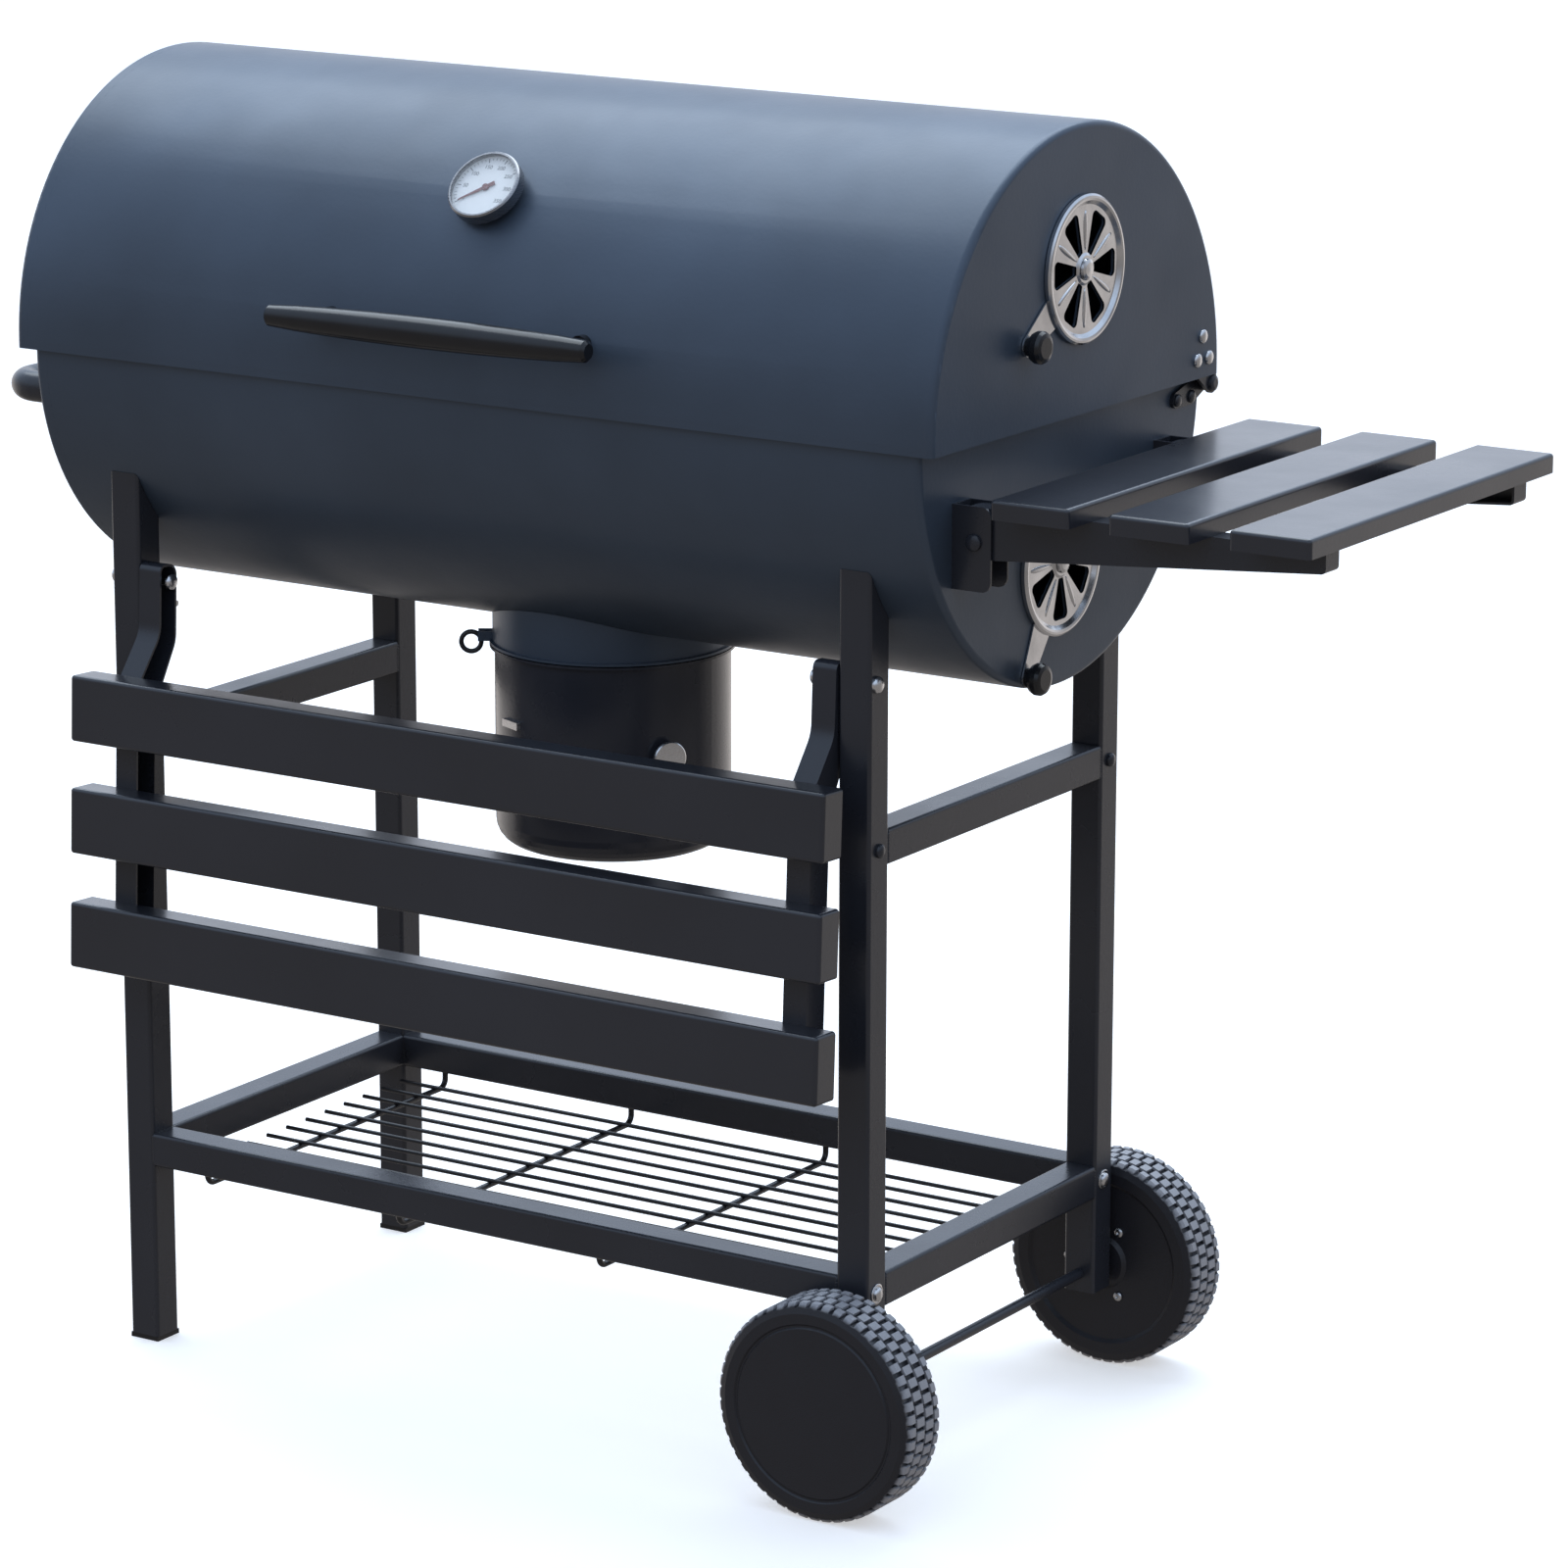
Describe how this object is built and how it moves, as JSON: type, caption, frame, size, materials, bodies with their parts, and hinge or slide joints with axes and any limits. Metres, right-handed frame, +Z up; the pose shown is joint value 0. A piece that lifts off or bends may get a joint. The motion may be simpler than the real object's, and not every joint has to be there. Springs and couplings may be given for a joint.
{
  "type": "barrel charcoal grill",
  "caption": "Wheeled barrel charcoal grill with hinged lid, folding front shelf and side table, vent dampers, ash bucket and wire bottom shelf.",
  "frame": {"origin": "on the ground, under the middle of the box around the whole grill", "axes": "+Z up, +X along the barrel towards the side table and the wheels, -Y towards the cook"},
  "size_m": [1.203, 0.5044, 1.051],
  "materials": {
    "barrel_paint": "satin",
    "frame_paint": "satin",
    "slat_paint": "satin",
    "bucket_paint": "gloss",
    "chrome": "polished",
    "bright_steel": "satin",
    "satin_zinc": "satin",
    "case_steel": "satin",
    "dial_white": "matte",
    "needle_paint": "satin",
    "dial_glass": "polished",
    "black_plastic": "satin",
    "wheel_plastic": "matte",
    "wire_enamel": "gloss"
  },
  "bodies": {
    "grill_body": {"body_shell": "barrel_paint", "body_end_cap_left": "barrel_paint", "body_end_cap_right": "barrel_paint", "body_hinge_plates": "frame_paint", "hinge_pins": "frame_paint", "body_fasteners": "chrome", "pivot_bolts": "chrome", "carry_handle": "frame_paint", "grate_ledges": "frame_paint", "ash_collar": "barrel_paint", "front_left_leg": "frame_paint", "rear_left_leg": "frame_paint", "front_right_leg": "frame_paint", "rear_right_leg": "frame_paint", "leg_feet": "black_plastic", "leg_saddles": "frame_paint", "bottom_rail_front": "frame_paint", "bottom_rail_rear": "frame_paint", "bottom_rail_left": "frame_paint", "bottom_rail_right": "frame_paint", "upper_rail_left": "frame_paint", "upper_rail_right": "frame_paint", "wire_shelf": "wire_enamel", "axle": "frame_paint", "side_table_brackets": "frame_paint"},
    "lid": {"lid_shell": "barrel_paint", "lid_end_cap_left": "barrel_paint", "lid_end_cap_right": "barrel_paint", "lid_handle_grip": "black_plastic", "lid_handle_posts": "black_plastic", "thermometer_case": "case_steel", "thermometer_dial": "dial_white", "thermometer_glass": "dial_glass", "thermometer_stem": "bright_steel", "lid_hinge_plates": "frame_paint", "lid_fasteners": "chrome"},
    "thermometer_needle": {"thermometer_needle": "needle_paint"},
    "lid_damper": {"lid_damper": "chrome", "lid_damper_knob": "black_plastic"},
    "body_damper": {"body_damper": "chrome", "body_damper_knob": "black_plastic"},
    "cooking_grate_left": {"cooking_grate_left": "wire_enamel"},
    "cooking_grate_right": {"cooking_grate_right": "wire_enamel"},
    "charcoal_grate": {"charcoal_grate": "wire_enamel"},
    "ash_bucket": {"bucket_wall": "bucket_paint", "bucket_base": "bucket_paint", "bucket_trim": "satin_zinc"},
    "bucket_clip": {"bucket_clip": "wire_enamel"},
    "front_wheel": {"front_wheel": "wheel_plastic"},
    "rear_wheel": {"rear_wheel": "wheel_plastic"},
    "front_shelf": {"front_shelf_arm_left": "frame_paint", "front_shelf_arm_right": "frame_paint", "front_shelf_slat_1": "slat_paint", "front_shelf_slat_2": "slat_paint", "front_shelf_slat_3": "slat_paint"},
    "side_table": {"side_table_arm_front": "frame_paint", "side_table_arm_rear": "frame_paint", "side_table_slat_1": "slat_paint", "side_table_slat_2": "slat_paint", "side_table_slat_3": "slat_paint"}
  },
  "joints": [
    {"name": "lid_hinge", "type": "hinge", "parent": "grill_body", "child": "lid", "pos_m": [-0.13, 0.21525, 0.822], "axis": [-1, 0, 0], "range_deg": [0, 95]},
    {"name": "lid_damper_turn", "type": "hinge", "parent": "lid", "child": "lid_damper", "pos_m": [0.3, 0.00825, 0.94], "axis": [-1, 0, 0], "range_deg": [0, 30]},
    {"name": "body_damper_turn", "type": "hinge", "parent": "grill_body", "child": "body_damper", "pos_m": [0.286, 0.00225, 0.715], "axis": [-1, 0, 0], "range_deg": [0, 30]},
    {"name": "thermometer_needle_turn", "type": "hinge", "parent": "lid", "child": "thermometer_needle", "pos_m": [-0.13, -0.15955, 0.98709], "axis": [0, 0.7431, -0.6691], "range_deg": [0, 250]},
    {"name": "cooking_grate_left_lift", "type": "slide", "parent": "grill_body", "child": "cooking_grate_left", "axis": [0, 0, 1], "range_m": [0, 0.09]},
    {"name": "cooking_grate_right_lift", "type": "slide", "parent": "grill_body", "child": "cooking_grate_right", "axis": [0, 0, 1], "range_m": [0, 0.09]},
    {"name": "charcoal_grate_lift", "type": "slide", "parent": "grill_body", "child": "charcoal_grate", "axis": [0, 0, 1], "range_m": [0, 0.08]},
    {"name": "ash_bucket_drop", "type": "slide", "parent": "grill_body", "child": "ash_bucket", "axis": [0, 0, -1], "range_m": [0, 0.15]},
    {"name": "bucket_clip_swing", "type": "hinge", "parent": "grill_body", "child": "bucket_clip", "pos_m": [-0.21722, -0.04839, 0.606], "axis": [-0.5446, 0.8387, 0], "range_deg": [0, 60]},
    {"name": "front_wheel_spin", "type": "hinge", "parent": "grill_body", "child": "front_wheel", "pos_m": [0.2165, -0.21075, 0.087], "axis": [0, 1, 0], "continuous": true},
    {"name": "rear_wheel_spin", "type": "hinge", "parent": "grill_body", "child": "rear_wheel", "pos_m": [0.2165, 0.22725, 0.087], "axis": [0, 1, 0], "continuous": true},
    {"name": "front_shelf_fold", "type": "hinge", "parent": "grill_body", "child": "front_shelf", "pos_m": [-0.13, -0.16975, 0.645], "axis": [-1, 0, 0], "range_deg": [0, 87]},
    {"name": "side_table_fold", "type": "hinge", "parent": "grill_body", "child": "side_table", "pos_m": [0.305, 0.00825, 0.759], "axis": [0, 1, 0], "range_deg": [0, 88]}
  ]
}
